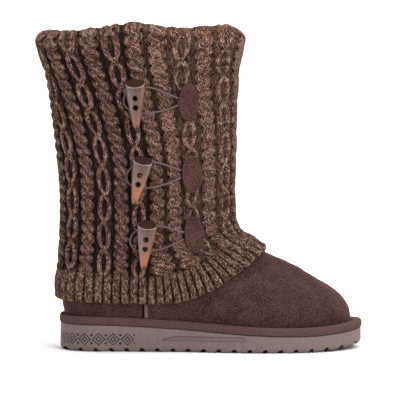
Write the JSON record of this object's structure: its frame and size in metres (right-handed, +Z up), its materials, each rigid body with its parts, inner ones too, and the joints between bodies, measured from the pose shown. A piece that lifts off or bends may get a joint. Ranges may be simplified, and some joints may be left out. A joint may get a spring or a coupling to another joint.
{
  "type": "mukluk boot",
  "caption": "Right mukluk boot: suede foot on a wedge rubber sole, cable-knit sleeve over the shaft with a ribbed hem and rolled collar, horn-shaped toggles in cord loops on oval patches.",
  "frame": {"origin": "On the floor under the heel, in the middle of a flat tread lug, about 40 mm ahead of the back of the sole and on the heel's centre line.", "axes": "+Z up, +X towards the toe, +Y towards the inner side of the foot, so the toggles are on the -Y side."},
  "size_m": [0.2979, 0.1203, 0.2944],
  "materials": {
    "rubber": "matt",
    "twill": "woven",
    "suede": "napped",
    "fleece": "fleecy",
    "yarn": "heathered knit",
    "horn": "polished imitation horn",
    "cord": "braided elastic",
    "patch_suede": "napped"
  },
  "bodies": {
    "root": {"outsole": "rubber", "binding": "twill", "upper": "suede", "insole": "fleece", "knit_sleeve": "yarn", "side_seam_outer": "suede", "side_seam_inner": "suede", "toggle_1": "horn", "toggle_2": "horn", "toggle_3": "horn", "cord_loop_1": "cord", "cord_loop_2": "cord", "cord_loop_3": "cord", "patch_1": "patch_suede", "patch_2": "patch_suede", "patch_3": "patch_suede"}
  },
  "joints": []
}
